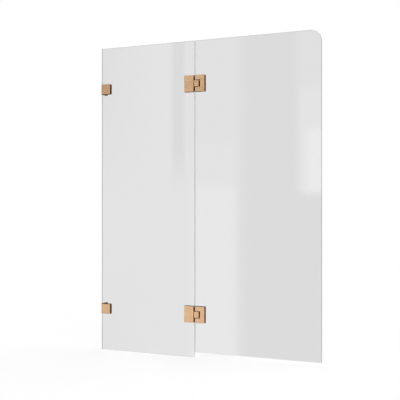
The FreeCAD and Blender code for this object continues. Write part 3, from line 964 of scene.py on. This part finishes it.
@dataclass(frozen=True)
class WallClamp:
    """A clamp that holds the fixed panel to the wall."""

    level: Level
    flange: float = 11.0 * MM

    def build(self) -> None:
        """Builds the metal pieces and dresses the soft ones."""
        stem = f"{self.level.value}_clamp"
        bracket = f"{stem}_wall_bracket"
        EasedMetal(f"{stem}_bracket", Body.FIXED, bracket, flange=self.flange).build()
        EasedMetal(f"{stem}_front_plate", Body.FIXED, f"{stem}_face").build()
        for name in ("gaskets", "edge_pad"):
            dress_node(f"{stem}_{name}", GASKET)
        dress_node(f"{stem}_sleeve", PLASTIC)


@dataclass(frozen=True)
class PivotHinge:
    """A hinge whose door leaf turns about a pivot block of the fixed leaf."""

    level: Level

    def build(self) -> None:
        """Builds the metal pieces and dresses the soft and inner ones."""
        stem = f"{self.level.value}_hinge"
        for body in Body:
            for side in ("front", "back"):
                node = f"{stem}_{body.value}_{side}_plate"
                EasedMetal(node, body, f"{stem}_{body.value}_{side}_leaf").build()
            dress_node(f"{stem}_{body.value}_gaskets", GASKET)
        EasedMetal(f"{stem}_pivot_block", Body.FIXED, f"{stem}_knuckle").build()
        dress_node(f"{stem}_pivot_bushes", DARK_PLASTIC)
        for name in ("pivot_pin", "detent_plunger", "detent_spring", "detent_plug"):
            dress_node(f"{stem}_{name}", STEEL)


def looked_at(pen: NodePen) -> Socket:
    """Tells rays that look at the set from rays that light it.

    Args:
        pen: the pen on the tree.

    Returns:
        A socket that is 1 for what is seen straight, in a mirror or through glass, and else 0.
    """
    path = pen.add("ShaderNodeLightPath")
    seen = pen.math("ADD", path.outputs["Is Camera Ray"], path.outputs["Is Glossy Ray"])
    return pen.math("ADD", seen, path.outputs["Is Transmission Ray"], clamp=True)


@dataclass(frozen=True)
class Floor:
    """The pale floor under the fixed panel; it shows white and keeps the object's shadow."""

    radius: float = 5.5
    centre: tuple[float, float] = (0.55, 0.0)
    sides: int = 96
    colour: Colour = (0.86, 0.86, 0.86)
    cloud_tone: float = 0.985
    cloud: float = 3.0
    cloud_detail: float = 2.0
    glow: float = 0.165

    def build(self) -> None:
        """Builds the floor at the lowest point of the object, out of sight of glass and metal."""
        disc = bmesh.new()
        bmesh.ops.create_circle(disc, cap_ends=True, radius=self.radius, segments=self.sides)
        bmesh.ops.translate(disc, verts=disc.verts, vec=(*self.centre, CAD_BOX[0].z))
        mesh = bpy.data.meshes.new("floor")
        disc.to_mesh(mesh)
        disc.free()
        floor = new_piece("floor", mesh)
        mesh.materials.append(self.material())
        floor.visible_glossy = False
        floor.visible_transmission = False

    def material(self) -> bpy.types.Material:
        """Builds the floor's material: plain paint, lifted to white where it is looked at.

        Returns:
            The material.
        """
        material, pen = new_material("pale_floor")
        cloud = pen.grain((self.cloud,) * 3, self.cloud_detail)
        low = tuple(self.cloud_tone * part for part in self.colour)
        colour = pen.blend(cloud, low, self.colour)
        paint_shader = pen.add("ShaderNodeBsdfDiffuse", {"Color": colour})
        glow = pen.math("MULTIPLY", looked_at(pen), self.glow)
        light = pen.add("ShaderNodeEmission", {"Strength": glow})
        shaders = {0: paint_shader.outputs[0], 1: light.outputs[0]}
        pen.show(pen.add("ShaderNodeAddShader", shaders))
        return material


@dataclass(frozen=True)
class Span:
    """A stretch of angles in degrees, from its middle to each end, and the fade past its ends."""

    middle: float
    half: float
    fade: float

    def share(self, pen: NodePen, angle: Socket, peak: float) -> Socket:
        """Adds the strength that the span has at an angle.

        Args:
            pen: the pen on the tree.
            angle: the socket of the angle.
            peak: the strength inside the span.

        Returns:
            The socket of the strength, which is 0 past the fade.
        """
        aside = pen.math("SUBTRACT", angle, self.middle)
        aside = pen.math("ABSOLUTE", pen.math("WRAP", aside, HALF_TURN, -HALF_TURN))
        return pen.ramp(aside, (self.half, self.half + self.fade), (peak, 0.0))


@dataclass(frozen=True)
class Card:
    """A soft-edged card beside the set, which glass and metal mirror.

    Bearings run from the front of the screen towards the wall, heights up from the horizon. The
    gain is what the card adds to the white of the set: a dark card takes away.
    """

    bearing: Span
    height: Span
    gain: float

    def hang(
        self, pen: NodePen, bearing: Socket, height: Socket, level: float | Socket
    ) -> Socket:
        """Adds the card to the backdrop.

        Args:
            pen: the pen on the world's tree.
            bearing: the socket of the bearing that is looked at.
            height: the socket of its height.
            level: the brightness there without the card.

        Returns:
            The socket of the brightness with the card.
        """
        across = self.bearing.share(pen, bearing, self.gain)
        return pen.math("MULTIPLY_ADD", across, self.height.share(pen, height, 1.0), level)


@dataclass(frozen=True)
class Sun:
    """A broad soft lamp that lights the whole set evenly, in watts per square metre."""

    name: str
    towards: Point
    strength: float
    angle: float = math.radians(40)

    def build(self) -> None:
        """Builds the lamp, out of sight of glass and metal."""
        data = bpy.data.lights.new(self.name, "SUN")
        data.energy = self.strength
        data.angle = self.angle
        lamp = bpy.data.objects.new(self.name, data)
        lamp.rotation_euler = Vector(self.towards).to_track_quat("Z", "Y").to_euler()
        lamp.visible_glossy = False
        bpy.context.scene.collection.objects.link(lamp)
        log.info("%s: %g W per square metre", self.name, self.strength)


@dataclass(frozen=True)
class Studio:
    """The white set, its lamps and the cards round it."""

    cards: tuple[Card, ...]
    suns: tuple[Sun, ...]
    white: float = 1.0
    ambient: float = 0.62
    darkest: float = 0.05

    def build(self) -> None:
        """Builds the world, the floor and the lamps."""
        self.build_world()
        Floor().build()
        for sun in self.suns:
            sun.build()

    def build_world(self) -> None:
        """Builds the white backdrop with its cards, and the plain light that it gives."""
        world = bpy.data.worlds.new("studio")
        bpy.context.scene.world = world
        world.use_nodes = True
        pen = NodePen(world.node_tree)
        level = self.card_level(pen)
        mirrored = pen.add("ShaderNodeLightPath").outputs["Glossy Depth"]
        mirrored = pen.math("MINIMUM", mirrored, 1.0)
        step = pen.math("MULTIPLY", mirrored, pen.math("SUBTRACT", level, self.white))
        shown = pen.math("SUBTRACT", pen.math("ADD", step, self.white), self.ambient)
        strength = pen.math("MULTIPLY_ADD", looked_at(pen), shown, self.ambient)
        values = {"Color": opaque(WHITE), "Strength": strength}
        light = pen.add("ShaderNodeBackground", values)
        pen.add("ShaderNodeOutputWorld", {"Surface": light.outputs[0]})

    def card_level(self, pen: NodePen) -> Socket:
        """Adds the brightness of the backdrop with its cards.

        Args:
            pen: the pen on the world's tree.

        Returns:
            The socket of the brightness in the direction that is looked at.
        """
        direction = pen.add("ShaderNodeTexCoord").outputs["Generated"]
        x, y, z = pen.add("ShaderNodeSeparateXYZ", {0: direction}).outputs
        left, front = (pen.math("MULTIPLY", part, -1.0) for part in (x, y))
        bearing = pen.math("DEGREES", pen.math("ARCTAN2", left, front))
        height = pen.math("DEGREES", pen.math("ARCSINE", z))
        level: float | Socket = self.white
        for card in self.cards:
            level = card.hang(pen, bearing, height, level)
        return pen.math("MAXIMUM", level, self.darkest)


@dataclass(frozen=True)
class PhotoCamera:
    """The camera at the photograph's place and angle; lens and sensor are in millimetres."""

    place: Point = (1.7752, -3.0818, 0.5384)
    turn: float = math.radians(22.006)
    tilt: float = math.radians(0.051)
    lens: float = 63.313
    sensor: float = 36.0

    def build(self) -> None:
        """Builds the camera and makes it the scene's own."""
        data = bpy.data.cameras.new("photo_camera")
        data.lens = self.lens
        data.sensor_width = self.sensor
        camera = bpy.data.objects.new("photo_camera", data)
        camera.location = self.place
        camera.rotation_euler = Euler((RIGHT_ANGLE + self.tilt, 0.0, self.turn))
        bpy.context.scene.collection.objects.link(camera)
        bpy.context.scene.camera = camera


CARDS = (
    # Behind the screen, for the sides, the tops and the bottoms of the plates.
    Card(bearing=Span(-154.5, 10.0, 16.0), height=Span(1.0, 9.0, 16.0), gain=-0.82),
    Card(bearing=Span(154.0, 10.0, 16.0), height=Span(12.0, 20.0, 16.0), gain=-0.82),
    # For the rounded edges of the plates, on their right and below.
    Card(bearing=Span(-68.0, 10.0, 10.0), height=Span(0.0, 14.0, 10.0), gain=-0.8),
    Card(bearing=Span(66.0, 18.0, 10.0), height=Span(-66.0, 10.0, 10.0), gain=-0.8),
    # For the faces of the upper and the lower clamp.
    Card(bearing=Span(58.0, 23.0, 10.0), height=Span(38.0, 29.0, 10.0), gain=-0.95),
    Card(bearing=Span(58.0, 22.5, 10.0), height=Span(-17.0, 4.0, 10.0), gain=-0.65),
    # The dark part of the door's glass and the light one on its right.
    Card(bearing=Span(13.2, 4.6, 1.8), height=Span(0.0, 15.0, 2.0), gain=-0.85),
    Card(bearing=Span(11.0, 2.6, 1.0), height=Span(7.9, 6.8, 1.0), gain=0.5),
    Card(bearing=Span(11.0, 2.5, 1.0), height=Span(4.8, 3.7, 1.0), gain=0.4),
    Card(bearing=Span(11.0, 1.9, 1.0), height=Span(3.2, 2.0, 1.2), gain=0.8),
    # The door's glass near the hinges, lighter below and darker above.
    Card(bearing=Span(20.9, 1.2, 1.2), height=Span(-6.0, 6.5, 1.5), gain=0.45),
    Card(bearing=Span(20.9, 1.2, 1.2), height=Span(10.0, 4.0, 2.0), gain=-0.25),
    # The dark band in the fixed glass, and the light on the upper hinge.
    Card(bearing=Span(23.75, 0.25, 0.5), height=Span(9.5, 5.0, 4.5), gain=-0.85),
    Card(bearing=Span(22.0, 7.0, 2.0), height=Span(22.0, 6.0, 2.0), gain=0.5),
)
SUNS = (
    Sun("key_sun", towards=(-0.5, -0.7, 1.0), strength=1.1),
    Sun("fill_sun", towards=(0.8, 0.5, 1.0), strength=0.4),
)


def main() -> None:
    """Builds the screen, the studio and the camera."""
    logging.basicConfig(level=logging.INFO, format="%(message)s")
    bpy.context.scene.view_settings.view_transform = "Standard"
    GlassPanel("fixed_glass", Body.FIXED, "fixed_pane", outward=-1.0).build()
    GlassPanel("door_glass", Body.DOOR, "door_pane", outward=1.0).build()
    for level in Level:
        WallClamp(level).build()
        PivotHinge(level).build()
    tree = ScrewTree("socket_screws")
    for screws in SCREWS:
        screws.build(tree)
    Studio(CARDS, SUNS).build()
    PhotoCamera().build()


if __name__ == "__main__":
    main()
